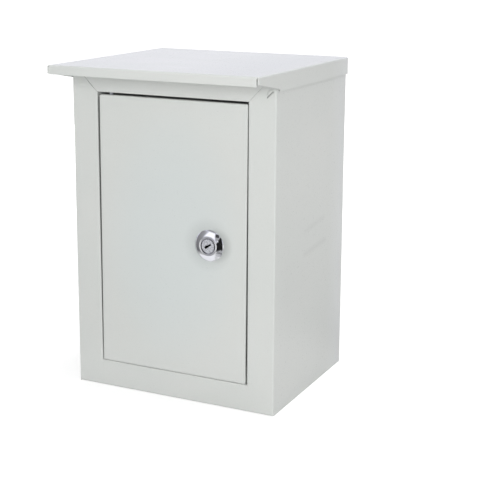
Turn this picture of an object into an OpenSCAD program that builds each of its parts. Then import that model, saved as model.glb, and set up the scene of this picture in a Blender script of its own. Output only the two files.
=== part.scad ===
// Lockable wall box in folded sheet steel, with an inset door and a projecting rain hood.
// The origin is the centre of the base. The front faces -Y and up is +Z. Millimetres.

/* [Overall] */
// Width of the body across its side walls
body_w = 200; // [150:1:260]
// Depth of the body from the front frame to the back panel
body_d = 160; // [110:1:220]
// Height of the box from its base to the top of the rain hood
total_h = 300; // [220:1:400]

/* [Sheet] */
// Thickness of the sheet steel
sheet = 1; // [0.8:0.1:1.3]
// Inside radius of the bends at the corners of the body
bend_r = 0.5; // [0.4:0.1:1.5]
// Inside radius of the tight bends round the opening and the door
edge_r = 0.3; // [0.2:0.1:0.8]

/* [Front frame] */
// Width of the stile beside the hinges
stile_hinge_w = 25.6; // [18:0.1:35]
// Width of the stile beside the lock
stile_lock_w = 25.8; // [18:0.1:35]
// Width of the top rail, from the top of the box
rail_top_w = 25.7; // [20:0.1:35]
// Width of the bottom rail
rail_low_w = 24.5; // [18:0.1:35]
// Depth of the returned edges round the opening
return_d = 12; // [9:0.5:16]
// Width of the flanges through which the panels are welded
weld_flange = 15; // [10:1:20]
// Open seam between the mitred frame ends at the upper hinge-side corner; the lower corners are closed
seam_hinge = 0.35; // [0.1:0.05:0.6]
// The same at the upper lock-side corner
seam_lock = 0.15; // [0.1:0.05:0.6]

/* [Rain hood] */
// Reach of the hood in front of the body
hood_reach = 36.5; // [20:0.1:60]
// Height of the lip along the front of the hood
hood_lip = 8.1; // [5:0.1:15]
// Open gap between each end of the lip and the side flange
lip_gap = 1.2; // [0.7:0.1:2]
// Height of the hood's side flanges at the lip
hood_nose = 7.4; // [4:0.1:12]
// Height of the hood's side flanges along the body
hood_side = 15.9; // [10:0.1:25]
// Distance behind the front face at which the side flanges reach their full height
hood_taper_end = 4; // [0:0.5:20]
// Inside radius of the hood's bends
hood_bend_r = 0.6; // [0.4:0.1:1]

/* [Door] */
// Gap between door and frame on the hinge side
door_gap_hinge = 1.4; // [1.1:0.05:2]
// Gap between door and frame on the lock side
door_gap_lock = 1.1; // [0.9:0.05:2]
// Gap above the door at the hinge
door_gap_top = 2; // [1.2:0.1:3]
// Gap below the door at the hinge
door_gap_bottom = 0.25; // [0.2:0.05:2]
// Depth of the door's returned edges
door_depth = 12; // [9:0.5:16]
// Radius of the door's upper hinge-side corner, which is dressed rounder than the others
door_corner_r = 3.2; // [2.2:0.1:4]
// Radius of the door's other three corners
door_corner_small_r = 1.3; // [1.2:0.1:4]
// Lean of the door's upright edges, which are folded a little out of square, in degrees
door_lean = 0.28; // [0:0.01:0.3]

/* [Hinge pins] */
// Diameter of the hinge pins
pin_d = 4; // [3:0.5:5]
// Distance of the pins from the opening's hinge edge
pin_inset = 12.7; // [11.5:0.1:15]
// Depth of the pins' axis behind the front face
pin_setback = 4.3; // [4:0.1:5]
// Radial clearance of a pin in its holes
pin_clearance = 0.08; // [0.03:0.01:0.1]
// Length of a pin below its head
pin_reach = 16; // [12:1:25]
// Thickness of the washer that carries the door
pivot_washer_t = 0.2; // [0.1:0.05:0.2]

/* [Lock] */
// Distance of the lock from the opening's lock edge
lock_inset = 36.6; // [25:0.1:45]
// Height of the lock above the base
lock_z = 146.8; // [60:0.1:300]
// Diameter of the lock's bezel
bezel_d = 28; // [24:0.5:34]
// Diameter of the bezel's flat face
bezel_face_d = 17.2; // [15:0.1:20]
// Height of the bezel in front of the door
bezel_h = 3; // [2:0.1:5]
// Diameter of the lock barrel
barrel_d = 18; // [17:0.5:20]
// Distance across the barrel's two flats
barrel_flats = 16; // [15:0.5:17]
// Length of the barrel behind the door's front face
barrel_l = 16; // [14:0.5:22]
// Diameter of the turning plug's face
plug_face_d = 12.1; // [11:0.1:13]
// Long side of the keyway
keyway_l = 7; // [5:0.1:9]
// Width of the keyway
keyway_w = 1.6; // [1:0.1:2]
// Tilt of the keyway from the horizontal when the key is drawn, in degrees
keyway_tilt = 36; // [0:1:90]
// Length of the cam from the lock's axis to its tip
cam_l = 45; // [42:0.5:50]
// Width of the cam
cam_w = 16; // [12:0.5:18]
// Thickness of the cam
cam_t = 2; // [1.5:0.1:3]

/* [Wall fixing] */
// Diameter of the wall fixing holes
wall_hole_d = 7; // [5:0.5:10]
// Distance between the wall fixing holes across the box
wall_span_x = 140; // [60:1:160]
// Distance between the wall fixing holes up the box
wall_span_z = 230; // [100:1:300]

/* [Hidden] */
$fn = 64;
eps = 0.01;
far = 1000;

// Body
body_h = total_h - sheet;
half_w = body_w/2;
front_y = -body_d/2;
back_y = body_d/2;
outer_r = bend_r + sheet;
lap = 1.5*sheet;
open_left = -half_w + stile_hinge_w;
open_right = half_w - stile_lock_w;
open_low = rail_low_w;
open_high = total_h - rail_top_w;
rail_top = body_h - open_high;
side_h = body_h - hood_bend_r;
rise_hinge = seam_hinge/sqrt(2);
rise_lock = seam_lock/sqrt(2);
corner_relief = 2;
flange_gap = 0.5;

// Slit in the lock-side stile: its width and the middles of its two round ends
slit_w = 1;
slit_low = [half_w - 8.2, open_high + 4.7];
slit_high = [half_w - 2.7, open_high + 9.4];

// Hood
hood_half = half_w + sheet;
hood_front = front_y - hood_reach;
hood_outer_r = hood_bend_r + sheet;
hood_step = 1.1;

// Door
door_left = open_left + door_gap_hinge;
door_right = open_right - door_gap_lock;
door_low = open_low + door_gap_bottom;
door_high = open_high - door_gap_top;
door_w = door_right - door_left;
door_h = door_high - door_low;
door_mid_z = (door_low + door_high)/2;
seat_gap = 0.05;

// Hinge pins
pin_x = open_left + pin_inset;
pin_y = front_y + pin_setback;
pin_hole_d = pin_d + 2*pin_clearance;
pin_head_d = 5.6;
pin_head_t = 1.5;
pin_chamfer = 0.6;
groove_d = pin_d - 0.8;
groove_w = 0.9;
clip_d = 6;
clip_t = 0.8;
clip_clearance = 0.2;
clip_mouth = 2.6;
pivot_washer_d = 6.4;

// Stop strip
strip_leg_gap = 3;
strip_reach = 8;
strip_margin = 10;
buffer_d = 7;
buffer_stem_d = 3;
buffer_bulb_d = 4.6;
buffer_bulb_h = 1.5;
buffer_gap = 0.3;
buffer_from_end = 35;
land_back = barrel_l;
land_front = land_back - sheet;

// Lock, measured along its axis from the door's front face
lock_x = open_right - lock_inset;
lock_fit = 0.15;
bezel_edge_h = 0.4;
bezel_bulge = 0.35;
plug_body_d = plug_face_d - 0.7;
plug_clearance = 0.05;
plug_head_l = 2;
face_ring_gap = 1.05;
nut_af = 22;
nut_t = 3;
nut_clearance = 0.1;
lock_washer_d = 25;
lock_washer_t = 0.8;
lock_washer_teeth = 16;
tooth_depth = 1.6;
tail_af = 7;
tail_clearance = 0.05;
stop_washer_d = 17;
stop_washer_t = 1;
stop_lug_in = 6.9;
stop_lug_arc = 40;
stop_lug_at = 115;
stop_play = 2;
stop_lug_gap = 0.4;
lock_turn = 90;
cam_hub_d = 18;
cam_tip_w = 12;
cam_gap = 0.02;
screw_d = 4;
screw_l = 5.4;
screw_head_d = 7.6;
screw_head_t = 2.4;
screw_slot_w = 1;
screw_clearance = 0.05;
screw_tip_gap = 0.8;
spring_washer_t = 1;
spring_washer_d = 8.4;

// Keyway and tumblers
ward_w = 0.52*keyway_l;
ward_h = 0.4*keyway_w;
wafer_count = 5;
wafer_pitch = 2.4;
wafer_first = 3.4;
wafer_t = 1;
wafer_w = 5.8;
wafer_play = 0.05;
wafer_window_w = 2.4;
wafer_window_l = keyway_l + 0.8;
wafer_pocket_l = 4.2;
wafer_pocket_w = 1.2;
wafer_spring_d = 1;
wafer_spring_bore = 0.6;
wafer_channel_d = 15;
keyway_depth = wafer_first + wafer_count*wafer_pitch + bezel_h;

paint = [0.82, 0.84, 0.83];
zinc = [0.72, 0.73, 0.74];
chrome = [0.86, 0.87, 0.89];
dark_zinc = [0.55, 0.55, 0.52];
brass = [0.80, 0.68, 0.38];
rubber = [0.12, 0.12, 0.12];
nylon = [0.93, 0.92, 0.88];

// ---------------------------------------------------------------- sheet-metal helpers

function toward(p, q) = (q - p)/norm(q - p);

// Straight stretch of sheet, seen on edge, from a to b.
module strip_2d(a, b) {
    if (norm(b - a) > eps) {
        d = toward(a, b);
        s = [-d.y, d.x]*sheet/2;
        polygon([a + s, b + s, b - s, a - s]);
    }
}

// Quarter bend, seen on edge: the sheet runs round c from direction u to direction v.
module bend_2d(c, u, v, r) {
    outer = r + sheet;
    translate(c)
        intersection() {
            difference() {
                circle(outer);
                circle(r);
            }
            polygon([[0, 0], outer*u, outer*(u + v), outer*v]);
        }
}

// Folded sheet of the given length: path is the middle of its section, and every corner is a square bend.
// radii holds the inside radius of each bend in turn.
module folded(path, radii, length) {
    last = len(path) - 1;
    m = concat([0], [for (r = radii) r + sheet/2], [0]);
    for (i = [0:last - 1]) {
        d = toward(path[i], path[i + 1]);
        linear_extrude(height = length)
            strip_2d(path[i] + m[i]*d, path[i + 1] - m[i + 1]*d);
    }
    for (i = [1:last - 1]) {
        d_in = toward(path[i - 1], path[i]);
        d_out = toward(path[i], path[i + 1]);
        linear_extrude(height = length)
            bend_2d(path[i] + m[i]*(d_out - d_in), d_in, -d_out, radii[i - 1]);
    }
}

// Things drawn in a YZ plane and standing along X from x0, or in an XZ plane and standing along Y up to y1.
module lay_x(x0) {
    translate([x0, 0, 0]) rotate([90, 0, 90]) children();
}

module lay_y(y1) {
    translate([0, y1, 0]) rotate([90, 0, 0]) children();
}

module along_x(x0, x1) {
    lay_x(x0) linear_extrude(height = x1 - x0) children();
}

module along_y(y0, y1) {
    lay_y(y1) linear_extrude(height = y1 - y0) children();
}

// Round hole or rod along Y.
module rod_y(x, z, d, y0, y1) {
    translate([x, y1, z]) rotate([90, 0, 0]) cylinder(d = d, h = y1 - y0);
}

module pin_hole(z) {
    translate([pin_x, pin_y, z - sheet]) cylinder(d = pin_hole_d, h = 3*sheet);
}

// ---------------------------------------------------------------- cabinet

// Region cut away from a stile whose inner edge is at x = edge: it meets the rails on 45 degree mitre lines.
module stile_mitre_2d(edge, rise) {
    inner = edge - outer_r;
    outer = half_w - outer_r;
    top = open_high - rise;
    polygon([[inner, top + inner - edge], [outer, top + outer - edge],
        [outer, total_h + far], [inner, total_h + far]]);
    polygon([[inner, open_low - inner + edge], [outer, open_low - outer + edge],
        [outer, -far], [inner, -far]]);
}

// Right-hand side wall, with its stile and return in front and its weld flange at the back.
module side_panel(stile_w, rise) {
    edge = half_w - stile_w;
    difference() {
        folded([
            [edge + sheet/2, front_y + return_d],
            [edge + sheet/2, front_y + sheet/2],
            [half_w - sheet/2, front_y + sheet/2],
            [half_w - sheet/2, back_y - lap],
            [half_w - weld_flange, back_y - lap]
        ], [edge_r, bend_r, bend_r], side_h);
        along_y(front_y - sheet, front_y + return_d + sheet) stile_mitre_2d(edge, rise);
    }
}

// Short slit with round ends in the upper outer corner of the lock-side stile.
module slit_2d() {
    run = slit_high - slit_low;
    translate(slit_low)
        rotate(atan2(run[1], run[0])) {
            circle(d = slit_w);
            translate([norm(run), 0]) circle(d = slit_w);
            translate([0, -slit_w/2]) square([norm(run), slit_w]);
        }
}

module right_side_panel() {
    color(paint)
        difference() {
            side_panel(stile_lock_w, rise_lock);
            along_y(front_y - sheet, front_y + 2*sheet) slit_2d();
        }
}

module left_side_panel() {
    color(paint) mirror([1, 0, 0]) side_panel(stile_hinge_w, rise_hinge);
}

// Part of a rail between its two mitre lines, in the rail's own XZ plane with the flat sheet at z = 0.
module rail_mitre_2d(rail, rise_left, rise_right) {
    edge = half_w - outer_r;
    intersection() {
        polygon([[open_left + rise_left, rail], [open_right - rise_right, rail],
            [open_right + rail - rise_right, 0], [open_left - rail + rise_left, 0]]);
        translate([-edge, 0]) square([2*edge, rail]);
    }
}

// Floor or inner roof: flat sheet, front rail with its return, back flange and two side flanges.
module pan(rail, rise_left, rise_right) {
    flat_half = half_w - sheet - outer_r;
    flat_front = front_y + outer_r;
    flat_back = back_y - sheet - outer_r;
    flange_half = half_w - weld_flange - flange_gap;
    intersection() {
        lay_x(-half_w)
            folded([
                [front_y + return_d, rail - sheet/2],
                [front_y + sheet/2, rail - sheet/2],
                [front_y + sheet/2, sheet/2],
                [flat_front, sheet/2]
            ], [edge_r, bend_r], body_w);
        along_y(front_y - sheet, front_y + return_d + sheet) rail_mitre_2d(rail, rise_left, rise_right);
    }
    translate([-flat_half, flat_front, 0]) cube([2*flat_half, flat_back - flat_front, sheet]);
    lay_x(-flange_half)
        folded([
            [flat_back, sheet/2],
            [back_y - lap, sheet/2],
            [back_y - lap, weld_flange]
        ], [bend_r], 2*flange_half);
    for (side = [-1, 1])
        lay_y(flat_back - corner_relief)
            folded([
                [side*flat_half, sheet/2],
                [side*(half_w - lap), sheet/2],
                [side*(half_w - lap), weld_flange]
            ], [bend_r], flat_back - flat_front - 2*corner_relief);
}

module bottom_panel() {
    color(paint)
        difference() {
            pan(rail_low_w, 0, 0);
            pin_hole(open_low - sheet);
        }
}

module top_panel() {
    color(paint)
        difference() {
            translate([0, 0, body_h]) mirror([0, 0, 1]) pan(rail_top, rise_hinge, rise_lock);
            pin_hole(open_high);
        }
}

// Flat sheet welded over the flanges of the sides, floor and inner roof.
module back_panel() {
    mid_z = body_h/2;
    color(paint)
        difference() {
            translate([-half_w + sheet, back_y - sheet, sheet])
                cube([body_w - 2*sheet, sheet, body_h - 2*sheet]);
            for (sx = [-1, 1])
                for (sz = [-1, 1])
                    rod_y(sx*wall_span_x/2, mid_z + sz*wall_span_z/2, wall_hole_d,
                        back_y - 2*sheet, back_y + sheet);
        }
}

// Outline of a side flange of the hood, from its low nose at the lip to a small step and its full height.
module hood_side_2d() {
    taper_y = front_y + hood_taper_end;
    low = total_h - hood_side;
    polygon([[hood_front, total_h - hood_nose], [taper_y, low + hood_step], [taper_y, low],
        [back_y, low], [back_y, total_h], [hood_front, total_h]]);
}

// Outline of the hood from the side, rounded over the lip.
module hood_round_2d() {
    translate([hood_front, total_h - far]) square([far, far - hood_outer_r]);
    translate([hood_front + hood_outer_r, total_h - far]) square([far, far]);
    translate([hood_front + hood_outer_r, total_h - hood_outer_r]) circle(hood_outer_r);
}

// Open gaps at the two ends of the lip.
module lip_gaps() {
    flange_in = hood_half - sheet;
    for (side = [-1, 1])
        translate([side*(flange_in - lip_gap/2) - lip_gap/2, hood_front - sheet, total_h - 2*hood_lip])
            cube([lip_gap, sheet + hood_outer_r, 2*hood_lip - hood_outer_r]);
}

module roof_cap() {
    flat_half = hood_half - hood_outer_r;
    color(paint) {
        difference() {
            lay_x(-flat_half)
                folded([
                    [hood_front + sheet/2, total_h - hood_lip],
                    [hood_front + sheet/2, total_h - sheet/2],
                    [back_y, total_h - sheet/2]
                ], [hood_bend_r], 2*flat_half);
            lip_gaps();
        }
        for (side = [-1, 1])
            intersection() {
                lay_y(back_y)
                    folded([
                        [side*flat_half, total_h - sheet/2],
                        [side*(hood_half - sheet/2), total_h - sheet/2],
                        [side*(hood_half - sheet/2), total_h - hood_side]
                    ], [hood_bend_r], back_y - hood_front);
                along_x(-hood_half - sheet, hood_half + sheet)
                    intersection() {
                        hood_side_2d();
                        hood_round_2d();
                    }
            }
    }
}

// Angle strip behind the lock-side stile: the door closes against its land and the cam turns behind it.
module door_stop_strip() {
    x_leg = open_right + lap;
    low = open_low + strip_margin;
    high = open_high - strip_margin;
    color(paint)
        difference() {
            translate([0, 0, low])
                folded([
                    [x_leg, front_y + strip_leg_gap],
                    [x_leg, front_y + land_front + sheet/2],
                    [open_right - strip_reach, front_y + land_front + sheet/2]
                ], [bend_r], high - low);
            for (z = buffer_heights)
                rod_y(buffer_x, z, buffer_stem_d + 2*seat_gap,
                    front_y + door_depth, front_y + land_back + sheet);
        }
}

buffer_x = door_right - sheet/2 - buffer_d/4;
buffer_heights = [open_low + buffer_from_end, open_high - buffer_from_end];

// Push-in rubber buffers: head in front of the land, stem through it, bulb behind it.
module stop_buffers() {
    head_front = front_y + door_depth + buffer_gap;
    land_y = front_y + land_front;
    color(rubber)
        for (z = buffer_heights) {
            rod_y(buffer_x, z, buffer_d, head_front, land_y);
            rod_y(buffer_x, z, buffer_stem_d, land_y - eps, land_y + sheet + eps);
            rod_y(buffer_x, z, buffer_bulb_d, land_y + sheet, land_y + sheet + buffer_bulb_h);
        }
}

module ring(d, bore, h) {
    difference() {
        cylinder(d = d, h = h);
        translate([0, 0, -h]) cylinder(d = bore, h = 3*h);
    }
}

module pivot_washer() {
    color(nylon)
        translate([pin_x, pin_y, open_low]) ring(pivot_washer_d, pin_hole_d, pivot_washer_t);
}

// ---------------------------------------------------------------- hinge pins

// Headed pin with a clip groove; z = 0 is the underside of its head.
module headed_pin(groove_top) {
    color(zinc) {
        cylinder(d = pin_head_d, h = pin_head_t - pin_chamfer);
        translate([0, 0, pin_head_t - pin_chamfer])
            cylinder(d1 = pin_head_d, d2 = pin_head_d - 2*pin_chamfer, h = pin_chamfer);
        translate([0, 0, -groove_top]) cylinder(d = pin_d, h = groove_top);
        translate([0, 0, -groove_top - groove_w]) cylinder(d = groove_d, h = groove_w);
        translate([0, 0, -pin_reach + pin_chamfer])
            cylinder(d = pin_d, h = pin_reach - groove_top - groove_w - pin_chamfer);
        translate([0, 0, -pin_reach])
            cylinder(d1 = pin_d - 2*pin_chamfer, d2 = pin_d, h = pin_chamfer);
    }
}

// Retaining clip that snaps into the groove; z = 0 is its lower face.
module pin_clip() {
    color(dark_zinc)
        difference() {
            cylinder(d = clip_d, h = clip_t);
            translate([0, 0, -clip_t]) cylinder(d = groove_d + 2*seat_gap, h = 3*clip_t);
            translate([0, -clip_mouth/2, -clip_t]) cube([clip_d, clip_mouth, 3*clip_t]);
        }
}

upper_head_z = open_high + sheet;
lower_head_z = door_low + sheet + seat_gap;
upper_groove = upper_head_z - (door_high - sheet) + clip_clearance;
lower_groove = lower_head_z - (open_low - sheet) + clip_clearance;
clip_drop = clip_t + (groove_w - clip_t)/2;

module upper_hinge_pin() {
    translate([pin_x, pin_y, upper_head_z]) headed_pin(upper_groove);
}

module upper_pin_clip() {
    translate([pin_x, pin_y, upper_head_z - upper_groove - clip_drop]) pin_clip();
}

module lower_hinge_pin() {
    translate([pin_x, pin_y, lower_head_z]) headed_pin(lower_groove);
}

module lower_pin_clip() {
    translate([pin_x, pin_y, lower_head_z - lower_groove - clip_drop]) pin_clip();
}

// ---------------------------------------------------------------- door

module rounded_square_2d(size, r) {
    translate([r, 0]) square([size.x - 2*r, size.y]);
    translate([0, r]) square([size.x, size.y - 2*r]);
    for (x = [r, size.x - r])
        for (y = [r, size.y - r])
            translate([x, y]) circle(r);
}

// Outline of the door with one rounder corner at its upper left.
module door_outline_2d(size, corner_r, small_r) {
    difference() {
        rounded_square_2d(size, small_r);
        translate([-corner_r, size.y - corner_r]) square(2*corner_r);
    }
    translate([corner_r, size.y - corner_r]) circle(corner_r);
}

// Block with its front edges rounded by r, open end at depth d.
module pan_block(w, h, d, r, corner_r, small_r) {
    intersection() {
        along_y(0, d) door_outline_2d([w, h], corner_r, small_r);
        linear_extrude(height = h) rounded_square_2d([w, d + 2*r], r);
        along_x(0, w) rounded_square_2d([d + 2*r, h], r);
    }
}

// Folded pan whose corners are welded and dressed round.
module door_pan() {
    difference() {
        pan_block(door_w, door_h, door_depth, edge_r + sheet, door_corner_r, door_corner_small_r);
        translate([sheet, sheet, sheet])
            pan_block(door_w - 2*sheet, door_h - 2*sheet, door_depth, edge_r,
                door_corner_r - sheet, door_corner_small_r - sheet);
    }
}

// Leans what stands upright to the right, about the middle of the door's height.
module lean(angle) {
    t = tan(angle);
    multmatrix([[1, 0, t, -t*door_mid_z], [0, 1, 0, 0], [0, 0, 1, 0], [0, 0, 0, 1]]) children();
}

module door_panel() {
    color(paint)
        difference() {
            lean(door_lean) translate([door_left, front_y, door_low]) door_pan();
            pin_hole(door_low);
            pin_hole(door_high - sheet);
            at_lock()
                translate([0, 0, -2*sheet])
                    linear_extrude(height = 4*sheet)
                        barrel_2d(barrel_d + 2*lock_fit, barrel_flats + 2*lock_fit);
        }
}

// ---------------------------------------------------------------- lock

// The lock is drawn as seen from the front: x to the right, y up, z out of the door's face.
module at_lock() {
    translate([lock_x, front_y, lock_z]) rotate([90, 0, 0]) children();
}

module barrel_2d(d, flats) {
    intersection() {
        circle(d = d);
        square([flats, d + eps], center = true);
    }
}

// Convex bezel in section, from its outer edge to the flat face, over the door's front.
module bezel_section_2d() {
    foot = [bezel_d/2, bezel_edge_h];
    crest = [bezel_face_d/2, bezel_h];
    chord = norm(crest - foot);
    arc_r = chord*chord/(8*bezel_bulge) + bezel_bulge/2;
    along = toward(foot, crest);
    inward = [-along.y, along.x];
    middle = (foot + crest)/2 + inward*(arc_r - bezel_bulge);
    square([crest.x, bezel_h]);
    polygon([[0, 0], [foot.x, 0], foot, crest, [0, crest.y]]);
    intersection() {
        translate(middle) circle(r = arc_r, $fn = 256);
        polygon([foot, foot - inward*2*bezel_bulge, crest - inward*2*bezel_bulge, crest]);
    }
}

// Chromed casting: bezel in front of the door, flatted barrel behind it, stop lug on its end.
module lock_housing() {
    bore_d = plug_body_d + 2*plug_clearance;
    seat_d = plug_face_d + 2*face_ring_gap;
    color(chrome)
        at_lock()
            difference() {
                union() {
                    rotate_extrude() bezel_section_2d();
                    translate([0, 0, -barrel_l])
                        linear_extrude(height = barrel_l) barrel_2d(barrel_d, barrel_flats);
                    translate([0, 0, -barrel_l - stop_washer_t])
                        sector(stop_lug_in, barrel_flats/2, stop_lug_at, stop_lug_arc, stop_washer_t);
                }
                translate([0, 0, -2*barrel_l]) cylinder(d = bore_d, h = 4*barrel_l);
                translate([0, 0, bezel_h - plug_head_l]) cylinder(d = seat_d, h = 2*plug_head_l);
                rotate([0, 0, keyway_tilt])
                    translate([0, 0, -(wafer_first + (wafer_count - 1)*wafer_pitch + wafer_t)])
                        linear_extrude(height = wafer_count*wafer_pitch)
                            intersection() {
                                circle(d = wafer_channel_d);
                                square([wafer_channel_d, wafer_w + 2*wafer_play], center = true);
                            }
            }
}

function heading(angle) = [cos(angle), sin(angle)];

// Ring sector between two radii, centred on the direction at, with its lower face at z = 0.
module sector(r_in, r_out, at, arc, h) {
    steps = 6;
    linear_extrude(height = h)
        intersection() {
            difference() {
                circle(r_out);
                circle(r_in);
            }
            polygon(concat([[0, 0]],
                [for (i = [0:steps]) 2*r_out*heading(at + arc*(i/steps - 0.5))]));
        }
}

// Toothed lock washer against the inside of the door.
module lock_washer() {
    inner_d = barrel_d + 2*nut_clearance;
    color(zinc)
        at_lock()
            translate([0, 0, -sheet - lock_washer_t])
                linear_extrude(height = lock_washer_t)
                    difference() {
                        circle(d = lock_washer_d);
                        circle(d = inner_d);
                        for (i = [0:lock_washer_teeth - 1])
                            rotate(i*360/lock_washer_teeth)
                                translate([lock_washer_d/2 - tooth_depth, -tooth_depth/2])
                                    square([2*tooth_depth, tooth_depth]);
                    }
}

module lock_nut() {
    color(zinc)
        at_lock()
            translate([0, 0, -sheet - lock_washer_t - nut_t])
                difference() {
                    cylinder(d = nut_af/cos(30), h = nut_t, $fn = 6);
                    translate([0, 0, -nut_t]) cylinder(d = barrel_d + 2*nut_clearance, h = 3*nut_t);
                }
}

// ---------------------------------------------------------------- turning plug

stop_z = -barrel_l - stop_washer_t;
cam_z = stop_z - cam_gap - cam_t;
spring_washer_z = cam_z - spring_washer_t;
tail_end = cam_z + cam_gap;

function wafer_z(i) = -wafer_first - i*wafer_pitch - wafer_t;

module keyway_2d() {
    square([keyway_l, keyway_w], center = true);
    translate([-keyway_l/2, keyway_w/2 - eps]) square([ward_w, ward_h]);
}

module lock_plug() {
    slot_l = plug_face_d + 2;
    color(chrome)
        at_lock()
            difference() {
                union() {
                    translate([0, 0, bezel_h - plug_head_l]) cylinder(d = plug_face_d, h = plug_head_l);
                    translate([0, 0, -barrel_l + plug_clearance])
                        cylinder(d = plug_body_d, h = barrel_l + bezel_h - plug_head_l - plug_clearance);
                    translate([-tail_af/2, -tail_af/2, tail_end])
                        cube([tail_af, tail_af, -barrel_l + sheet - tail_end]);
                }
                rotate([0, 0, keyway_tilt]) {
                    translate([0, 0, wafer_z(wafer_count - 1) - wafer_play])
                        linear_extrude(height = keyway_depth) keyway_2d();
                    for (i = [0:wafer_count - 1])
                        translate([-slot_l/2, -wafer_w/2 - wafer_play, wafer_z(i) - wafer_play])
                            cube([slot_l, wafer_w + 2*wafer_play, wafer_t + 2*wafer_play]);
                }
                translate([0, 0, tail_end - eps])
                    cylinder(d = screw_d + 2*screw_clearance, h = screw_l - screw_tip_gap);
            }
}

// Wafers drawn flush with the plug, as the key holds them.
module wafer_tumblers() {
    color(brass)
        at_lock()
            rotate([0, 0, keyway_tilt])
                for (i = [0:wafer_count - 1])
                    translate([0, 0, wafer_z(i)])
                        linear_extrude(height = wafer_t)
                            difference() {
                                intersection() {
                                    circle(d = plug_body_d - 2*wafer_play);
                                    square([plug_body_d, wafer_w], center = true);
                                }
                                square([wafer_window_l, wafer_window_w], center = true);
                                translate([-wafer_pocket_l/2, wafer_w/2 - wafer_pocket_w])
                                    square([wafer_pocket_l, 2*wafer_pocket_w]);
                            }
}

// Small closed-wound springs, each in the pocket of its wafer.
module wafer_springs() {
    color(zinc)
        at_lock()
            rotate([0, 0, keyway_tilt])
                for (i = [0:wafer_count - 1])
                    translate([-wafer_pocket_l/2 + wafer_play, (wafer_w - wafer_pocket_w)/2,
                        wafer_z(i) + wafer_t/2])
                        rotate([0, 90, 0])
                            ring(wafer_spring_d, wafer_spring_bore, wafer_pocket_l - 2*wafer_play);
}

module square_hole(h) {
    side = tail_af + 2*tail_clearance;
    translate([-side/2, -side/2, -h]) cube([side, side, 3*h]);
}

// Washer on the square tail, cut away so that the housing's lug ends the turn.
module stop_washer() {
    notch_arc = stop_lug_arc + lock_turn + 2*stop_play;
    notch_at = stop_lug_at - lock_turn/2;
    color(zinc)
        at_lock()
            translate([0, 0, stop_z])
                difference() {
                    cylinder(d = stop_washer_d, h = stop_washer_t - plug_clearance);
                    square_hole(stop_washer_t);
                    translate([0, 0, -stop_washer_t])
                        sector(stop_lug_in - stop_lug_gap, stop_washer_d, notch_at, notch_arc,
                            3*stop_washer_t);
                }
}

// Cam hanging straight down, which leaves the door free; a quarter turn brings it behind the strip.
module lock_cam() {
    tip_y = -cam_l + cam_tip_w/2;
    color(zinc)
        at_lock()
            translate([0, 0, cam_z])
                difference() {
                    linear_extrude(height = cam_t) {
                        circle(d = cam_hub_d);
                        polygon([[-cam_w/2, 0], [-cam_tip_w/2, tip_y], [cam_tip_w/2, tip_y], [cam_w/2, 0]]);
                        translate([0, tip_y]) circle(d = cam_tip_w);
                    }
                    square_hole(cam_t);
                }
}

module cam_spring_washer() {
    split = 0.8;
    color(dark_zinc)
        at_lock()
            translate([0, 0, spring_washer_z])
                difference() {
                    ring(spring_washer_d, screw_d + 4*screw_clearance, spring_washer_t);
                    translate([0, -split/2, -spring_washer_t])
                        cube([spring_washer_d, split, 3*spring_washer_t]);
                }
}

module cam_screw() {
    head_z = spring_washer_z - screw_head_t;
    color(zinc)
        at_lock()
            difference() {
                union() {
                    translate([0, 0, head_z + screw_head_t/2]) cylinder(d = screw_head_d, h = screw_head_t/2);
                    translate([0, 0, head_z])
                        cylinder(d1 = screw_head_d - screw_head_t, d2 = screw_head_d, h = screw_head_t/2);
                    translate([0, 0, spring_washer_z - eps]) cylinder(d = screw_d, h = screw_l);
                }
                translate([-screw_head_d, -screw_slot_w/2, head_z - eps])
                    cube([2*screw_head_d, screw_slot_w, screw_head_t/2]);
            }
}

left_side_panel();
right_side_panel();
top_panel();
bottom_panel();
back_panel();
roof_cap();
door_stop_strip();
stop_buffers();
pivot_washer();
upper_hinge_pin();
upper_pin_clip();
door_panel();
lower_hinge_pin();
lower_pin_clip();
lock_housing();
lock_washer();
lock_nut();
lock_plug();
wafer_tumblers();
wafer_springs();
stop_washer();
lock_cam();
cam_spring_washer();
cam_screw();
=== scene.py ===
"""Small lockable sheet-steel box with a rain hood: looks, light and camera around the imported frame.

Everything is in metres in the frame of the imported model: +Z up, the door faces -Y, the wall is at +Y.
"""

import math

import bmesh
import bpy
from mathutils import Matrix, Quaternion, Vector


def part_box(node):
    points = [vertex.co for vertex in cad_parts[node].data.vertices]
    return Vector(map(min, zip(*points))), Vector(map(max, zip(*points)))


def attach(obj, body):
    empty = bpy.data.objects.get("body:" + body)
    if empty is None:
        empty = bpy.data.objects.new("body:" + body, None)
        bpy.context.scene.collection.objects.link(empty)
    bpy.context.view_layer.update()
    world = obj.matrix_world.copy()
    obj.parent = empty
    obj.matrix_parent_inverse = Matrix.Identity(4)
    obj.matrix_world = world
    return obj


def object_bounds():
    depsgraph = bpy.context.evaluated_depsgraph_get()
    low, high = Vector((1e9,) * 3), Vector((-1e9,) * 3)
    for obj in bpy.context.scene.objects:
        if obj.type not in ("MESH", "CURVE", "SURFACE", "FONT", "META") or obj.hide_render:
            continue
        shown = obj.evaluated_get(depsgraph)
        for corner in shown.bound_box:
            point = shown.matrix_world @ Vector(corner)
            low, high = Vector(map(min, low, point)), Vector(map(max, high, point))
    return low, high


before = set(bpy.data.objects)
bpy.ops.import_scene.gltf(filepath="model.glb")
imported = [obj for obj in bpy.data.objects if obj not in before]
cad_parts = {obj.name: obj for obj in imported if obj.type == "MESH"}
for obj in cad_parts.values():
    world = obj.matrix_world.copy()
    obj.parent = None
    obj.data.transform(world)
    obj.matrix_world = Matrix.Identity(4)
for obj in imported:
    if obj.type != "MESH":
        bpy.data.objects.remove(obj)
cad_low, cad_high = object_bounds()

MM = 0.001


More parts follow.
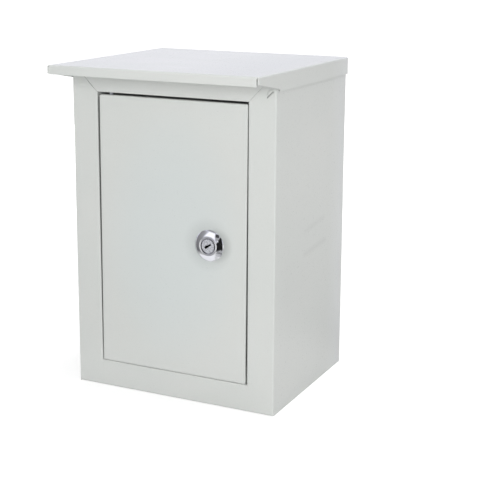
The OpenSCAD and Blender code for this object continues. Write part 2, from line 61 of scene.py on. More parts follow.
# ---------------------------------------------------------------- camera
# Found from the photograph's edges: a long lens to the right of the door and above it.
CAMERA_AT = Vector((0.49405, -0.95731, 0.40298))
CAMERA_FORWARD = Vector((-0.42327, 0.87999, -0.21556))
CAMERA_ROLL = 0.325  # degrees
LENS_MM = 88.152
SENSOR_MM = 36.0
SHIFT_X = -0.01137
SHIFT_Y = -0.07679
CLIP_NEAR, CLIP_FAR = 0.01, 50.0


def make_camera():
    """The photograph's own camera."""
    data = bpy.data.cameras.new("camera")
    data.sensor_width = SENSOR_MM
    data.lens = LENS_MM
    data.shift_x = SHIFT_X
    data.shift_y = SHIFT_Y
    data.clip_start = CLIP_NEAR
    data.clip_end = CLIP_FAR
    camera = bpy.data.objects.new("camera", data)
    bpy.context.scene.collection.objects.link(camera)
    turn = CAMERA_FORWARD.to_track_quat("-Z", "Y")
    turn = turn @ Quaternion((0, 0, 1), math.radians(CAMERA_ROLL))
    camera.matrix_world = Matrix.Translation(CAMERA_AT) @ turn.to_matrix().to_4x4()
    bpy.context.scene.camera = camera


# ---------------------------------------------------------------- node helpers
def linear(red, green, blue):
    """An sRGB colour, 0 to 255, as Blender's linear values."""

    def one(value):
        value /= 255.0
        return value / 12.92 if value <= 0.04045 else ((value + 0.055) / 1.055) ** 2.4

    return (one(red), one(green), one(blue), 1.0)


class Nodes:
    """A material's node tree with short calls to make and join nodes."""

    def __init__(self, name):
        self.material = bpy.data.materials.new(name)
        self.material.use_nodes = True
        self.tree = self.material.node_tree
        self.tree.nodes.clear()
        self.output = self.make("ShaderNodeOutputMaterial")
        self.coords = self.make("ShaderNodeTexCoord").outputs["Object"]

    def make(self, kind, **values):
        node = self.tree.nodes.new(kind)
        for key, value in values.items():
            setattr(node, key, value)
        return node

    def join(self, source, target):
        self.tree.links.new(source, target)

    def noise(self, size, detail=2.0, stretch=(1.0, 1.0, 1.0)):
        """Noise whose features are about size metres across; returns the 0 to 1 factor."""
        mapping = self.make("ShaderNodeMapping")
        mapping.inputs["Scale"].default_value = [share / size for share in stretch]
        self.join(self.coords, mapping.inputs["Vector"])
        noise = self.make("ShaderNodeTexNoise")
        noise.inputs["Scale"].default_value = 1.0
        noise.inputs["Detail"].default_value = detail
        noise.inputs["Roughness"].default_value = 0.5
        self.join(mapping.outputs["Vector"], noise.inputs["Vector"])
        return noise.outputs["Fac"]

    def span(self, factor, low, high, start=0.3, end=0.7):
        """Maps a factor from start..end to low..high."""
        node = self.make("ShaderNodeMapRange")
        node.inputs["From Min"].default_value = start
        node.inputs["From Max"].default_value = end
        node.inputs["To Min"].default_value = low
        node.inputs["To Max"].default_value = high
        self.join(factor, node.inputs["Value"])
        return node.outputs["Result"]

    def mix(self, factor, first, second):
        """Blends two colours by a factor."""
        node = self.make("ShaderNodeMix", data_type="RGBA")
        self.join(factor, node.inputs["Factor"])
        for value, socket in ((first, node.inputs[6]), (second, node.inputs[7])):
            if hasattr(value, "links"):
                self.join(value, socket)
            else:
                socket.default_value = value
        return node.outputs[2]

    def bump(self, height, distance, under=None):
        """A bump of that many metres, on top of an earlier bump."""
        node = self.make("ShaderNodeBump")
        node.inputs["Strength"].default_value = 1.0
        node.inputs["Distance"].default_value = distance
        self.join(height, node.inputs["Height"])
        if under is not None:
            self.join(under, node.inputs["Normal"])
        return node.outputs["Normal"]

    def value(self, operation, first, second=0.0):
        """One Math node; its inputs may be outputs or plain values."""
        node = self.make("ShaderNodeMath", operation=operation)
        for place, source in enumerate((first, second)):
            if hasattr(source, "links"):
                self.join(source, node.inputs[place])
            else:
                node.inputs[place].default_value = source
        return node.outputs[0]

    def far(self, *axes):
        """How far a point lies from a line along one axis; axes holds the other two: (point's, line's)."""
        offs = [self.value("SUBTRACT", coordinate, place) for coordinate, place in axes]
        squares = [self.value("MULTIPLY", off, off) for off in offs]
        return self.value("SQRT", self.value("ADD", *squares))

    def off_stroke(self, across, up, start, end):
        """How far a point at across and up lies from the straight stroke between two points."""
        run = (end[0] - start[0], end[1] - start[1])
        square = run[0] ** 2 + run[1] ** 2
        sideways = self.value("SUBTRACT", across, start[0])
        upwards = self.value("SUBTRACT", up, start[1])
        along = self.value(
            "ADD",
            self.value("MULTIPLY", sideways, run[0] / square),
            self.value("MULTIPLY", upwards, run[1] / square),
        )
        along = self.value("MINIMUM", self.value("MAXIMUM", along, 0.0), 1.0)
        sideways = self.value("SUBTRACT", sideways, self.value("MULTIPLY", along, run[0]))
        upwards = self.value("SUBTRACT", upwards, self.value("MULTIPLY", along, run[1]))
        squares = self.value("MULTIPLY", sideways, sideways), self.value("MULTIPLY", upwards, upwards)
        return self.value("SQRT", self.value("ADD", *squares))

    def place(self):
        """The x, y and z of a point of the object at rest, in metres."""
        node = self.make("ShaderNodeSeparateXYZ")
        self.join(self.coords, node.inputs[0])
        return node.outputs

    def shut_in(self, reach):
        """1 where nothing is near, towards 0 in gaps and corners narrower than reach metres."""
        node = self.make("ShaderNodeAmbientOcclusion", samples=12)
        node.inputs["Distance"].default_value = reach
        return node.outputs["AO"]

    def principled(self, colour, roughness, normal, **values):
        """The surface shader: colour, roughness and normal are outputs, further inputs are plain values."""
        shader = self.make("ShaderNodeBsdfPrincipled")
        for key, output in (("Base Color", colour), ("Roughness", roughness), ("Normal", normal)):
            self.join(output, shader.inputs[key])
        for key, value in values.items():
            shader.inputs[key].default_value = value
        self.join(shader.outputs["BSDF"], self.output.inputs["Surface"])


# ---------------------------------------------------------------- paint
# Places are across (x), front to back (y) and up (z) in the frame; strengths go from 0 to 1.

# How near a point has to be to a face to count as on it
DOOR_SKIN = 0.5 * MM
SIDE_SKIN = 0.2 * MM
STILE_SKIN = 0.2 * MM
ROOF_SKIN = 0.3 * MM
FLANGE_OUT = 0.3 * MM  # the hood's side flanges lie further out than this from the side panels
# Painted shadow in rings round the lock, in millimetres: right and up from its middle, strength, and the
# radii at which each starts to fade and ends
LOCK_SHADOWS = ((-1.0, 0.5, 0.155, 12.0, 25.0), (6.5, 0.5, 0.22, 9.5, 16.0))
# Painted reflection: a cooler tone in the middle of the door's front
# Strength, and the squared shares of half the door at which it starts to fade and ends
DOOR_REFLECTION = (0.8, 0.2, 0.9)
# Painted sheen: the sides lighter towards the wall
SIDE_SHEEN = (0.55, 40 * MM, 76 * MM)  # strength, and the y at which it starts and is full
# Painted reflection on the roof: faint light clouds, darker towards the right
ROOF_REFLECTION = (0.045, 0.50)  # size in metres, strength
ROOF_REFLECTION_DARKER = 0.30
ROOF_RIGHT = 70 * MM  # the x at which the roof's painted reflection clouds end and its darkening is full
# Painted reflection: two faint dark streaks on the right side
# Two points of each streak, y and z, its strength and its half width, in millimetres
SIDE_REFLECTION_STREAKS = (
    ((-14.0, 152.4), (29.0, 156.4), 0.07, 4.0),
    ((-15.4, 131.0), (33.8, 134.0), 0.09, 4.0),
)
# Front and back end of the lower edge of the hood's side flanges, y and z, in millimetres
HOOD_EDGE = ((-116.5, 292.8), (-76.0, 285.4))
# Painted shade along the lower edge of the hood's side flanges
HOOD_EDGE_SHADE = (0.38, 0.5 * MM, 1.3 * MM)  # strength, and how far off the edge it starts to fade and ends
HOOD_EDGE_PAST = 2  # how far the mark may run on past the edge's back end, in millimetres
# Points of each painted shade mark on the stile, x and z, its strength and its half width, in millimetres
ARC_SHADE = (((91.6, 281.6), (92.2, 283.6), (93.6, 285.2), (96.4, 286.0)), 0.22, 1.2)
SLIT_SHADE = (((92.0, 279.7), (96.7, 284.0)), 0.62, 0.9)
MARK_CORE = 0.2 * MM  # a mark on the stile is at its full strength this near its line
GAP_SHADE = 0.9  # how dark the painted shade is in the gap round the door
GAP_REACH = 4 * MM  # how wide a gap it fills
GAP_OPENNESS = (0.05, 0.6)  # how open a place is where the painted shade is full, and where it ends
GAP_START = 2 * MM  # how far above the door's foot the painted shade starts
GAP_FULL = 45 * MM  # the z at which it is full
WAVE_DEPTH = 0.25 * MM
PEEL_DEPTH = 0.012 * MM


def in_metres(*points):
    """The points, given in millimetres, with their coordinates in metres."""
    return [[coordinate * MM for coordinate in point] for point in points]


def lock_painted_shadow(nodes):
    """How dark the painted shadow is on the door round its lock: a faint wide ring, and more of it on the
    right.
    """
    low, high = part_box("lock_housing")
    x, y, z = nodes.place()[:3]
    total = 0.0
    for right, up, amount, inner, outer in LOCK_SHADOWS:
        off = nodes.far((x, (low.x + high.x) / 2 + right * MM), (z, (low.z + high.z) / 2 + up * MM))
        total = nodes.value("ADD", nodes.span(off, amount, 0.0, inner * MM, outer * MM), total)
    on_front = nodes.value("LESS_THAN", y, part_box("door_panel")[0].y + DOOR_SKIN)
    return nodes.value("MULTIPLY", total, on_front)


def door_painted_reflection(nodes):
    """How much painted reflection, a cooler tone, the door's front has: most in the middle, none at the
    edges.
    """
    low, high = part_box("door_panel")
    x, y, z = nodes.place()[:3]
    strength, start, end = DOOR_REFLECTION
    across = nodes.value("DIVIDE", nodes.value("SUBTRACT", x, (low.x + high.x) / 2), (high.x - low.x) / 2)
    up = nodes.value("DIVIDE", nodes.value("SUBTRACT", z, (low.z + high.z) / 2), (high.z - low.z) / 2)
    square = nodes.value("ADD", nodes.value("MULTIPLY", across, across), nodes.value("MULTIPLY", up, up))
    on_front = nodes.value("LESS_THAN", y, low.y + DOOR_SKIN)
    return nodes.value("MULTIPLY", nodes.span(square, strength, 0.0, start, end), on_front)


def side_painted_sheen(nodes):
    """How much lighter the sides are painted towards the wall: painted sheen where the sheet springs out a
    little at its fold.
    """
    x, y = nodes.place()[:2]
    strength, start, full = SIDE_SHEEN
    outward = nodes.value("ABSOLUTE", x)
    on_side = nodes.value("GREATER_THAN", outward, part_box("right_side_panel")[1].x - SIDE_SKIN)
    return nodes.value("MULTIPLY", nodes.span(y, 0.0, strength, start, full), on_side)


def roof_painted_reflection(nodes):
    """Painted reflection on the roof: faint light clouds, and how far it darkens towards the right: two
    amounts.
    """
    x, _, z = nodes.place()[:3]
    size, strength = ROOF_REFLECTION
    on_roof = nodes.value("GREATER_THAN", z, cad_high.z - ROOF_SKIN)
    clouds = nodes.span(nodes.noise(size, detail=3.0, stretch=(0.6, 1.0, 1.0)), 0.0, strength)
    clouds = nodes.value("MULTIPLY", clouds, nodes.span(x, 1.0, 0.0, 0.0, ROOF_RIGHT))
    darker = nodes.span(x, 0.0, ROOF_REFLECTION_DARKER, 0.0, ROOF_RIGHT)
    return nodes.value("MULTIPLY", clouds, on_roof), nodes.value("MULTIPLY", darker, on_roof)


def side_reflection_streaks(nodes):
    """Two faint slanting dark streaks of painted reflection on the right side."""
    x, y, z = nodes.place()[:3]
    total = 0.0
    for start, end, amount, width in SIDE_REFLECTION_STREAKS:
        off = nodes.off_stroke(y, z, *in_metres(start, end))
        total = nodes.value("ADD", nodes.span(off, amount, 0.0, 0.0, width * MM), total)
    on_side = nodes.value("GREATER_THAN", x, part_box("right_side_panel")[1].x - SIDE_SKIN)
    return nodes.value("MULTIPLY", total, on_side)


def hood_flange_shade(nodes):
    """Painted shade along the rolled lower edge of the hood's side flanges, in front of the body."""
    x, y, z = nodes.place()[:3]
    strength, start, end = HOOD_EDGE_SHADE
    off = nodes.off_stroke(y, z, *in_metres(*HOOD_EDGE))
    outward = nodes.value("ABSOLUTE", x)
    on_flange = nodes.value("GREATER_THAN", outward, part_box("right_side_panel")[1].x + FLANGE_OUT)
    in_front = nodes.value("LESS_THAN", y, (HOOD_EDGE[1][0] + HOOD_EDGE_PAST) * MM)
    on_flange = nodes.value("MULTIPLY", nodes.span(off, strength, 0.0, start, end), on_flange)
    return nodes.value("MULTIPLY", on_flange, in_front)


def slit_painted_shade(nodes):
    """Painted shade on the lock-side stile: a faint curved dark line over its slit, and a dark stroke along
    the slit.
    """
    x, y, z = nodes.place()[:3]
    total = 0.0
    for points, amount, width in (ARC_SHADE, SLIT_SHADE):
        for start, end in zip(points, points[1:]):
            off = nodes.off_stroke(x, z, *in_metres(start, end))
            total = nodes.value("MAXIMUM", nodes.span(off, amount, 0.0, MARK_CORE, width * MM), total)
    on_front = nodes.value("LESS_THAN", y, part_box("right_side_panel")[0].y + STILE_SKIN)
    return nodes.value("MULTIPLY", total, on_front)


def gap_painted_shade(nodes):
    """How dark the painted shade is in the gap round the door, none of it at the door's foot."""
    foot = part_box("door_panel")[0].z
    above_sill = nodes.span(nodes.place()[2], 0.0, 1.0, foot + GAP_START, GAP_FULL)
    in_gap = nodes.span(nodes.shut_in(GAP_REACH), GAP_SHADE, 0.0, *GAP_OPENNESS)
    return nodes.value("MULTIPLY", in_gap, above_sill)


def painted_steel():
    """Light grey powder coat with a faint green cast: semi-gloss, fine orange peel, slightly wavy sheet."""
    nodes = Nodes("paint")
    broad = nodes.noise(0.09, detail=3.0)
    fine = nodes.noise(0.0012, detail=2.0)
    peel = nodes.noise(0.0021, detail=1.0)
    wave = nodes.noise(0.11, detail=1.0)
    coat = nodes.mix(nodes.span(broad, 0.0, 1.0), linear(209, 212, 209), linear(212, 214, 211))
    # the roof's painted reflection: its light clouds, and its darkening towards the right
    clouds, darker = roof_painted_reflection(nodes)
    # painted reflection streaks on the right side, and painted shade on the hood's flange edges and round
    # the stile's slit
    marks = nodes.value("ADD", nodes.value("ADD", side_reflection_streaks(nodes), hood_flange_shade(nodes)), slit_painted_shade(nodes))
    for amount, tone in (
        (nodes.span(fine, 0.0, 0.10), (186, 190, 187)),
        # painted shade in the gap round the door
        (gap_painted_shade(nodes), (70, 70, 68)),
        # painted reflection in the middle of the door
        (door_painted_reflection(nodes), (207, 213, 212)),
        # painted shadow round the lock
        (lock_painted_shadow(nodes), (60, 62, 60)),
        # painted sheen on the sides towards the wall
        (side_painted_sheen(nodes), (219, 221, 223)),
        (clouds, (222, 221, 222)),
        (darker, (192, 193, 194)),
        # the painted reflection streaks and painted shade marks
        (marks, (90, 92, 90)),
    ):
        coat = nodes.mix(amount, coat, linear(*tone))
    normal = nodes.bump(peel, PEEL_DEPTH, under=nodes.bump(wave, WAVE_DEPTH))
    nodes.principled(coat, nodes.span(fine, 0.27, 0.35), normal, IOR=1.5)
    return nodes.material


# ---------------------------------------------------------------- the lock's finishes
GROOVE_R, RING_R = 7.12 * MM, 8.6 * MM  # the groove round the plug, and the flat ring round the groove
GROOVE_DEPTH = 0.3 * MM
RING_CROWN = -0.1  # how steeply the ring falls towards its edge
INSIDE_DEPTHS = (0.2 * MM, 18 * MM)  # the inside of the lock lies between these two depths
KEYWAY_R = 5 * MM  # and the keyway in it lies inside this radius


def lock_place(nodes):
    """For a point of the lock: its distance from the lock's axis, and its depth behind the lock's face."""
    low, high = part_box("lock_housing")
    x, y, z = nodes.place()[:3]
    radius = nodes.far((x, (low.x + high.x) / 2), (z, (low.z + high.z) / 2))
    return radius, nodes.value("SUBTRACT", y, low.y)


def bright_chrome():
    """Polished chrome; the flat ring round the plug is a little crowned, and the groove in it is painted
    darker as shade.
    """
    nodes = Nodes("bright_chrome")
    pits = nodes.noise(0.0015, detail=3.0)
    radius, depth = lock_place(nodes)
    deep = nodes.value("GREATER_THAN", depth, GROOVE_DEPTH)
    groove_painted_shade = nodes.value("MULTIPLY", nodes.value("LESS_THAN", radius, GROOVE_R), deep)
    crown = nodes.value("MINIMUM", nodes.value("MAXIMUM", radius, GROOVE_R), RING_R)
    nodes.principled(
        # painted shade in the groove round the plug
        nodes.mix(groove_painted_shade, linear(214, 215, 218), linear(172, 172, 178)),
        nodes.span(pits, 0.05, 0.11),
        nodes.bump(pits, 0.004 * MM, under=nodes.bump(nodes.value("MULTIPLY", crown, RING_CROWN), 1.0)),
        Metallic=1.0,
    )
    return nodes.material


def satin_chrome():
    """Satin chrome, with painted shade: darker inside the lock and black in the keyway."""
    nodes = Nodes("satin_chrome")
    grain = nodes.noise(0.0011, detail=3.0)
    radius, depth = lock_place(nodes)
    clean = nodes.mix(nodes.span(grain, 0.0, 1.0), linear(221, 223, 228), linear(243, 245, 249))
    # painted shade inside the lock, black in the keyway
    inside_painted_shade = nodes.mix(nodes.value("LESS_THAN", radius, KEYWAY_R), linear(172, 172, 178), linear(22, 22, 23))
    shallow, deep = INSIDE_DEPTHS
    past_face = nodes.value("GREATER_THAN", depth, shallow)
    inside = nodes.value("MULTIPLY", past_face, nodes.value("LESS_THAN", depth, deep))
    nodes.principled(
        nodes.mix(inside, clean, inside_painted_shade),
        nodes.span(grain, 0.22, 0.36),
        nodes.bump(grain, 0.012 * MM),
        Metallic=1.0,
    )
    return nodes.material


# ---------------------------------------------------------------- plain finishes
# For each: size in metres and detail of its clouds or grain, its two tones, its roughness from and to, the
# size and detail of the grain of its bump where that is another one, the bump's depth in millimetres, and
# how metallic it is
PLAIN_FINISHES = {
    "zinc_plate": (
        (0.004, 4.0), ((170, 174, 182), (200, 202, 204)), (0.25, 0.42), (0.0005, 2.0), 0.006, 1.0
    ),
    "spring_steel": ((0.0008, 3.0), ((120, 122, 126), (150, 151, 153)), (0.28, 0.40), None, 0.005, 1.0),
    # painted shade: the brass tones are kept dark, as the wafers sit deep in the keyway
    "brass": ((0.0007, 3.0), ((52, 43, 26), (70, 58, 36)), (0.25, 0.38), None, 0.005, 1.0),
    "black_rubber": ((0.0009, 3.0), ((34, 34, 35), (48, 48, 49)), (0.55, 0.75), None, 0.02, 0.0),
    "nylon": ((0.0012, 2.0), ((214, 210, 198), (226, 223, 213)), (0.35, 0.48), None, 0.01, 0.0),
}


def plain_finish(name):
    """One of the plain finishes: two tones that blend in fine clouds, and a fine bump."""
    (size, detail), tones, roughness, bump_grain, depth, metallic = PLAIN_FINISHES[name]
    nodes = Nodes(name)
    cloud = nodes.noise(size, detail=detail)
    grain = nodes.noise(bump_grain[0], detail=bump_grain[1]) if bump_grain else cloud
    nodes.principled(
        nodes.mix(nodes.span(cloud, 0.0, 1.0), *[linear(*tone) for tone in tones]),
        nodes.span(cloud, *roughness),
        nodes.bump(grain, depth * MM),
        Metallic=metallic,
    )
    return nodes.material


MAKERS = {"painted_steel": painted_steel, "bright_chrome": bright_chrome, "satin_chrome": satin_chrome}


def finish_nodes():
    """Gives every node of the CAD the procedural finish of its material slot, and returns the finishes."""
    made = {}
    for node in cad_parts.values():
        slot = node.data.materials[0].name.split(".")[0]
        if slot not in made:
            made[slot] = MAKERS[slot]() if slot in MAKERS else plain_finish(slot)
        node.data.materials[0] = made[slot]
    return made


# ---------------------------------------------------------------- stage and light
FLOOR_SIZE = 80.0  # metres
FLOOR_COLOUR = (226, 226, 226)
FLOOR_CLOUDS = (225, 225, 225)
# Added to the floor as the camera sees it, and as mirrors see it: beside the object, and far from it,
# where the lamps no longer reach.
CAMERA_LIFT = (0.45, 1.0)
MIRROR_LIFT = (0.20, 0.64)
LIFT_AT = (0.4, 1.3)  # metres from the middle of the object


def floor_material():
    """A matt pale surface that the camera sees brighter than it is lit, and white far off."""
    nodes = Nodes("floor")
    cloud = nodes.noise(0.6, detail=2.0)
    tone = nodes.mix(nodes.span(cloud, 0.0, 1.0), linear(*FLOOR_COLOUR), linear(*FLOOR_CLOUDS))
    away = nodes.make("ShaderNodeVectorMath", operation="LENGTH")
    nodes.join(nodes.coords, away.inputs[0])
    matt = nodes.make("ShaderNodeBsdfDiffuse")
    nodes.join(tone, matt.inputs["Color"])
    lift = nodes.make("ShaderNodeEmission")
    lift.inputs["Color"].default_value = (1.0, 1.0, 1.0, 1.0)
    path = nodes.make("ShaderNodeLightPath")
    seen = [
        nodes.value("MULTIPLY", path.outputs[ray], nodes.span(away.outputs["Value"], *lifts, *LIFT_AT))
        for ray, lifts in (("Is Camera Ray", CAMERA_LIFT), ("Is Glossy Ray", MIRROR_LIFT))
    ]
    nodes.join(nodes.value("ADD", *seen), lift.inputs["Strength"])
    both = nodes.make("ShaderNodeAddShader")
    nodes.join(matt.outputs["BSDF"], both.inputs[0])
    nodes.join(lift.outputs["Emission"], both.inputs[1])
    nodes.join(both.outputs["Shader"], nodes.output.inputs["Surface"])
    return nodes.material


def make_floor():
    """The floor under the object and round it; it keeps the object's shadow."""
    half = FLOOR_SIZE / 2
    level = cad_low.z
    mesh = bpy.data.meshes.new("floor")
    corners = [(-half, -half, level), (half, -half, level), (half, half, level), (-half, half, level)]
    mesh.from_pydata(corners, [], [(0, 1, 2, 3)])
    mesh.materials.append(floor_material())
    floor = bpy.data.objects.new("floor", mesh)
    bpy.context.scene.collection.objects.link(floor)


MIRROR_SKY = (1.02, 1.02, 1.15, 1.0)  # the surroundings as gloss and mirrors see them, a little blue


def make_world(strength):
    """Even white surroundings: seen as plain white, and lighting the object at the given strength."""
    world = bpy.data.worlds.new("world")
    bpy.context.scene.world = world
    world.use_nodes = True
    tree = world.node_tree
    tree.nodes.clear()
    output = tree.nodes.new("ShaderNodeOutputWorld")
    background = tree.nodes.new("ShaderNodeBackground")
    path = tree.nodes.new("ShaderNodeLightPath")
    tint = tree.nodes.new("ShaderNodeMix")
    tint.data_type = "RGBA"
    tint.inputs[6].default_value = (1.0, 1.0, 1.0, 1.0)
    tint.inputs[7].default_value = MIRROR_SKY
    tree.links.new(path.outputs["Is Glossy Ray"], tint.inputs["Factor"])
    tree.links.new(tint.outputs[2], background.inputs["Color"])
    seen = tree.nodes.new("ShaderNodeMath")
    seen.operation = "MAXIMUM"
    tree.links.new(path.outputs["Is Camera Ray"], seen.inputs[0])
    tree.links.new(path.outputs["Is Glossy Ray"], seen.inputs[1])
    level = tree.nodes.new("ShaderNodeMapRange")
    level.inputs["To Min"].default_value = strength
    level.inputs["To Max"].default_value = 1.0
    tree.links.new(seen.outputs[0], level.inputs["Value"])
    tree.links.new(level.outputs["Result"], background.inputs["Strength"])
    tree.links.new(background.outputs["Background"], output.inputs["Surface"])


def direction(azimuth, elevation):
    """A unit vector; azimuth 0 is straight out of the door, 90 to the box's right, both in degrees."""
    turn, rise = math.radians(azimuth), math.radians(elevation)
    return Vector((math.sin(turn) * math.cos(rise), -math.cos(turn) * math.cos(rise), math.sin(rise)))


GRID = 24  # squares along each side of a card
FLOOR_CARD_UP = 1 * MM  # how far a floor card lies above the floor
CARD_CLEAR = 2 * MM  # how far the other cards stay above it
CARD_TINT = (0.985, 0.985, 1.02, 1.0)  # a little blue, as the surroundings are in mirrors


def blend_corners(values, across, up):
    """Bilinear blend of four values: lower left, lower right, upper right, upper left."""
    low = values[0] + (values[1] - values[0]) * across
    high = values[3] + (values[2] - values[3]) * across
    return low + (high - low) * up


def grid_shares():
    """How far across and up each point of a card's grid lies, row by row."""
    return [(column / GRID, row / GRID) for row in range(GRID + 1) for column in range(GRID + 1)]


def faded(across, up, edge):
    """1 inside a card, falling to 0 over the outer edge share of its width."""
    return min(1.0, min(across, 1 - across, up, 1 - up) / edge)


def reflection_card(name, corners, tones, edge, distance):
    """A curved card round the lock that only mirrors see, like a photographer's black or grey flag.

    corners are four (azimuth, elevation) pairs as seen from the lock, and tones the brightness there:
    lower left, lower right, upper right, upper left. The card fades out over edge of its width.
    """
    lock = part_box("lock_housing")
    middle = Vector(((lock[0].x + lock[1].x) / 2, lock[0].y, (lock[0].z + lock[1].z) / 2))
    verts = []
    for across, up in grid_shares():
        azimuth, elevation = [blend_corners(side, across, up) for side in zip(*corners)]
        reach = distance
        if elevation < 0:
            reach = min(reach, (middle.z - cad_low.z - CARD_CLEAR) / math.sin(math.radians(-elevation)))
        verts.append(middle + direction(azimuth, elevation) * reach)
    shades = [blend_corners(tones, *share) for share in grid_shares()]
    make_card(name, verts, shades, [faded(*share, edge) for share in grid_shares()])


def floor_card(name, corners, tone, cover, edge, adds):
    """A patch of brighter or darker floor that only mirrors see; its corners are x and y in metres."""
    verts = []
    for share in grid_shares():
        x, y = [blend_corners(side, *share) for side in zip(*corners)]
        verts.append(Vector((x, y, cad_low.z + FLOOR_CARD_UP)))
    covers = [cover * faded(*share, edge) for share in grid_shares()]
    make_card(name, verts, [tone] * len(verts), covers, adds)


def make_card(name, verts, shades, covers, adds=False):
    """Joins a grid of points to a glowing card that only mirrors see.

    It covers what is behind it, or adds its tone to that, as far as covers say.
    """
    wide = GRID + 1
    firsts = [row * wide + column for row in range(GRID) for column in range(GRID)]
    faces = [(first, first + 1, first + wide + 1, first + wide) for first in firsts]
    mesh = bpy.data.meshes.new(name)
    mesh.from_pydata(verts, [], faces)
    for label, values in (("shade", shades), ("cover", covers)):
        mesh.attributes.new(label, "FLOAT", "POINT").data.foreach_set("value", values)
    nodes = Nodes(name)
    shade = nodes.make("ShaderNodeAttribute", attribute_name="shade").outputs["Fac"]
    cover = nodes.make("ShaderNodeAttribute", attribute_name="cover").outputs["Fac"]
    glow = nodes.make("ShaderNodeEmission")
    glow.inputs["Color"].default_value = CARD_TINT
    nodes.join(nodes.value("MULTIPLY", shade, cover) if adds else shade, glow.inputs["Strength"])
    clear = nodes.make("ShaderNodeBsdfTransparent")
    blend = nodes.make("ShaderNodeAddShader" if adds else "ShaderNodeMixShader")
    if not adds:
        nodes.join(cover, blend.inputs[0])
    nodes.join(clear.outputs["BSDF"], blend.inputs[-2])
    nodes.join(glow.outputs["Emission"], blend.inputs[-1])
    nodes.join(blend.outputs["Shader"], nodes.output.inputs["Surface"])
    mesh.materials.append(nodes.material)
    card = bpy.data.objects.new(name, mesh)
    bpy.context.scene.collection.objects.link(card)
    card.visible_camera = False
    card.visible_diffuse = False
    card.visible_transmission = False
    card.visible_shadow = False


CARD_DISTANCE = 0.9  # metres from the lock
CARD_STEP = 0.005  # each card stands this much nearer than the one before it
# name, corners, tones and fading edge: see reflection_card
CARDS = (
    ("grey_ceiling", ((-64, 44), (14, 44), (26, 78), (-74, 78)), (0.40, 0.50, 0.50, 0.40), 0.12),
    ("white_panel", ((-44, 6), (6, 6), (11, 49), (-38, 50)), (1.5, 1.5, 1.5, 1.5), 0.20),
    ("grey_surround", ((-4, 2), (42, 2), (44, 48), (5, 48)), (0.40, 0.60, 0.60, 0.60), 0.10),
    ("camera_body", ((-4, -29), (48, -32), (43, 37), (-3, -6)), (0.02, 0.02, 0.02, 0.02), 0.04),
    ("camera_top", ((1, 21), (28, 25), (33, 43), (9, 45)), (0.08, 0.10, 0.02, 0.05), 0.10),
    ("camera_badge", ((7, 3), (16, 3), (16, 11), (7, 11)), (1.3, 1.3, 1.3, 1.3), 0.30),
    ("grey_wall", ((-96, -37), (-43, -37), (-36, 46), (-78, 46)), (0.18, 0.18, 0.60, 0.36), 0.12),
    ("grey_door", ((-40, -36), (-14, -36), (-14, 12), (-40, 12)), (0.50, 0.50, 0.50, 0.50), 0.15),
    ("floor_glow", ((-118, -80), (4, -80), (4, -36), (-112, -34)), (1.1, 1.15, 1.3, 1.15), 0.12),
    ("dark_floor", ((0, -56), (56, -62), (51, -24), (-6, -27)), (0.90, 0.50, 0.50, 0.70), 0.08),
    ("dark_skirting", ((0, -36), (50, -50), (48, -39), (2, -28)), (0.15, 0.01, 0.01, 0.15), 0.10),
)

# The box's shadow on the floor behind it to the right, and the lit floor beside that, as the right side
# mirrors them: name, corners, tone, cover, fading edge, whether the tone is added to the floor's own
FLOOR_CARDS = (
    ("lit_floor", ((0.05, -0.40), (0.75, -0.15), (0.55, 0.581), (0.05, 0.022)), 0.16, 1.0, 0.04, True),
    ("floor_shadow", ((-0.06, -0.10), (0.42, 0.44), (0.55, 0.71), (-0.06, -0.05)), 0.50, 0.70, 0.25, False),
)


def make_cards():
    """All cards; a later one stands in front of the earlier ones."""
    for place, card in enumerate(CARDS):
        reflection_card(*card, CARD_DISTANCE - place * CARD_STEP)
    for card in FLOOR_CARDS:
        floor_card(*card)


LIGHTS_AIM = Vector((0.0, 0.0, 0.15))
WORLD_STRENGTH = 0.312
# name, azimuth and elevation as for direction(), distance, size, watts, seen in mirrors
SOFTBOXES = (
    ("front", -5, 13, 1.6, 0.8, 2.77, False),
    ("front_high", -16, 27, 1.6, 1.1, 1.49, False),
    ("right_front", 25, 15, 1.5, 0.6, 7.40, False),
    ("right", 62, 10, 1.5, 0.7, 2.78, False),
    ("overhead", 0, 90, 1.5, 1.2, 8.46, True),
    ("behind", 150, 50, 1.6, 0.9, 6.56, True),
    ("behind_left", -145, 4, 1.6, 0.4, 6.0, False),
)


def make_lights():
    """The white surroundings, and the square soft lamps that look at the middle of the box."""
    make_world(WORLD_STRENGTH)
    for name, azimuth, elevation, distance, size, watts, mirrored in SOFTBOXES:
        data = bpy.data.lights.new(name, "AREA")
        data.shape = "RECTANGLE"
        data.size = data.size_y = size
        data.energy = watts
        light = bpy.data.objects.new(name, data)
        bpy.context.scene.collection.objects.link(light)
        light.location = LIGHTS_AIM + direction(azimuth, elevation) * distance
        light.rotation_euler = (LIGHTS_AIM - light.location).to_track_quat("-Z", "Y").to_euler()
        light.visible_camera = False
        light.visible_glossy = mirrored


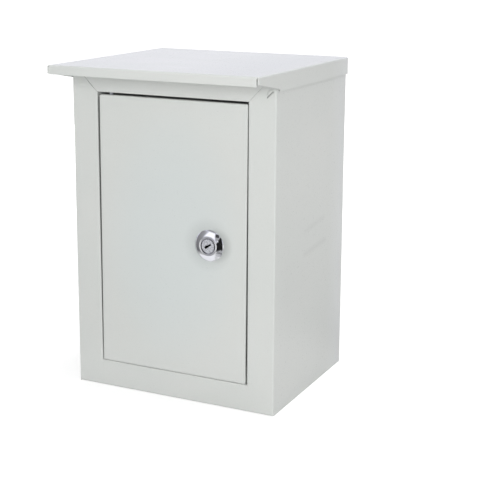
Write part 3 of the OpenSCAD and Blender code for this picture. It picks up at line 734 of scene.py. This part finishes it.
# ---------------------------------------------------------------- pieces added to the CAD
def rounded_bar(name, size, edge, place):
    """A small bar with softened edges, size in metres, turned and moved by the matrix place."""
    mesh = bpy.data.meshes.new(name)
    shape = bmesh.new()
    bmesh.ops.create_cube(shape, size=1.0, matrix=Matrix.Diagonal((*size, 1.0)))
    bmesh.ops.bevel(shape, geom=shape.edges[:], offset=edge, segments=2, profile=0.5, affect="EDGES")
    bmesh.ops.transform(shape, matrix=place, verts=shape.verts)
    shape.to_mesh(mesh)
    shape.free()
    piece = bpy.data.objects.new(name, mesh)
    bpy.context.scene.collection.objects.link(piece)
    return piece


# The two fillers, in millimetres
LIP_SLIT = (291.95, 298.3)  # lower and upper end of the slit at each end of the hood's lip
LIP_FILLER_ACROSS = (0.95, 2.35)  # from the hood's left side
LIP_FILLER_DEEP = (0.06, 0.95)  # behind the lip's face
STILE_SLIT = ((91.8, 279.0), (97.3, 283.7))  # middles of the slit's round ends, across and up
SLIT_FILLER_DEEP = 0.95  # from the stile's face to the filler's middle
SLIT_FILLER_PAST = 0.9  # how much longer it is than the slit between those middles
SLIT_FILLER = (0.5, 0.98)  # its size front to back, and across the slit
FILLER_EDGE = 0.12


def make_fillers(paint):
    """Painted weld filler: at the left end of the hood's lip, and in the bottom of the stile's slit."""
    cap_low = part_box("roof_cap")[0]
    low, high = [
        Vector((cap_low.x + across * MM, cap_low.y + deep * MM, up * MM))
        for across, deep, up in zip(LIP_FILLER_ACROSS, LIP_FILLER_DEEP, LIP_SLIT)
    ]
    edge = FILLER_EDGE * MM
    fillers = [rounded_bar("lip_filler", high - low, edge, Matrix.Translation((low + high) / 2))]
    start, end = [Vector((x, 0.0, z)) * MM for x, z in STILE_SLIT]
    run = end - start
    behind_face = Vector((0.0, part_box("right_side_panel")[0].y + SLIT_FILLER_DEEP * MM, 0.0))
    place = Matrix.Translation((start + end) / 2 + behind_face)
    place = place @ Matrix.Rotation(-math.atan2(run.z, run.x), 4, "Y")
    size = (run.length + SLIT_FILLER_PAST * MM, *[part * MM for part in SLIT_FILLER])
    fillers.append(rounded_bar("slit_filler", size, edge, place))
    for filler in fillers:
        filler.data.materials.append(paint)
        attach(filler, "cabinet")


# ---------------------------------------------------------------- build
bpy.context.scene.view_settings.view_transform = "Standard"
make_camera()
make_floor()
make_lights()
make_cards()
make_fillers(finish_nodes()["painted_steel"])
